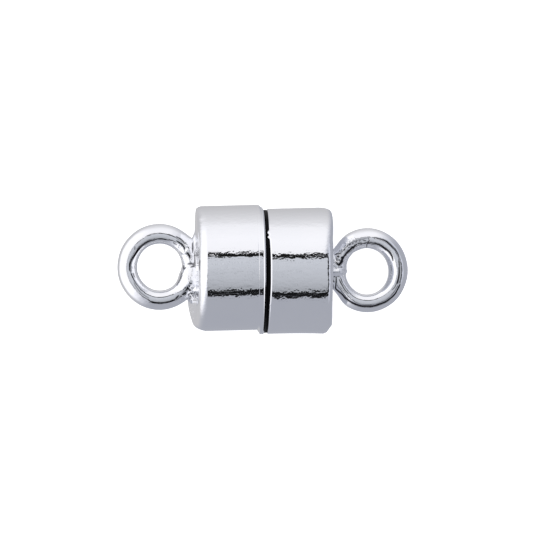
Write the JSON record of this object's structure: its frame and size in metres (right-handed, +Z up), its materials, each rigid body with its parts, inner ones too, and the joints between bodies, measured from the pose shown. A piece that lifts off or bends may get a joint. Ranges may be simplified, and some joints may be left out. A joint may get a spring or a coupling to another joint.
{
  "type": "barrel magnetic clasp",
  "caption": "Barrel magnetic clasp for a bracelet or necklace: metal cups with a magnet in each and a wire ring soldered to each end.",
  "frame": {"origin": "middle of the bounding box, at the surface that the clasp lies on", "axes": "+X along the barrel from the half with the lip to the other half, +Z up, rings level"},
  "size_m": [0.014, 0.0062, 0.006],
  "materials": {
    "silver_plate": "mirror-polished silver-coloured plating",
    "magnet": "dark nickel coating"
  },
  "bodies": {
    "left_half": {"left_cup": "silver_plate", "left_magnet": "magnet"},
    "right_magnet": {"right_magnet": "magnet"},
    "right_half": {"right_cup": "silver_plate"}
  },
  "joints": [
    {"name": "pull_apart", "type": "slide", "parent": "left_half", "child": "right_magnet", "axis": [1, 0, 0], "range_m": [0, 0.01]},
    {"name": "swivel", "type": "hinge", "parent": "right_magnet", "child": "right_half", "pos_m": [0.0017, -0.00011, 0.003], "axis": [1, 0, 0], "continuous": true}
  ]
}
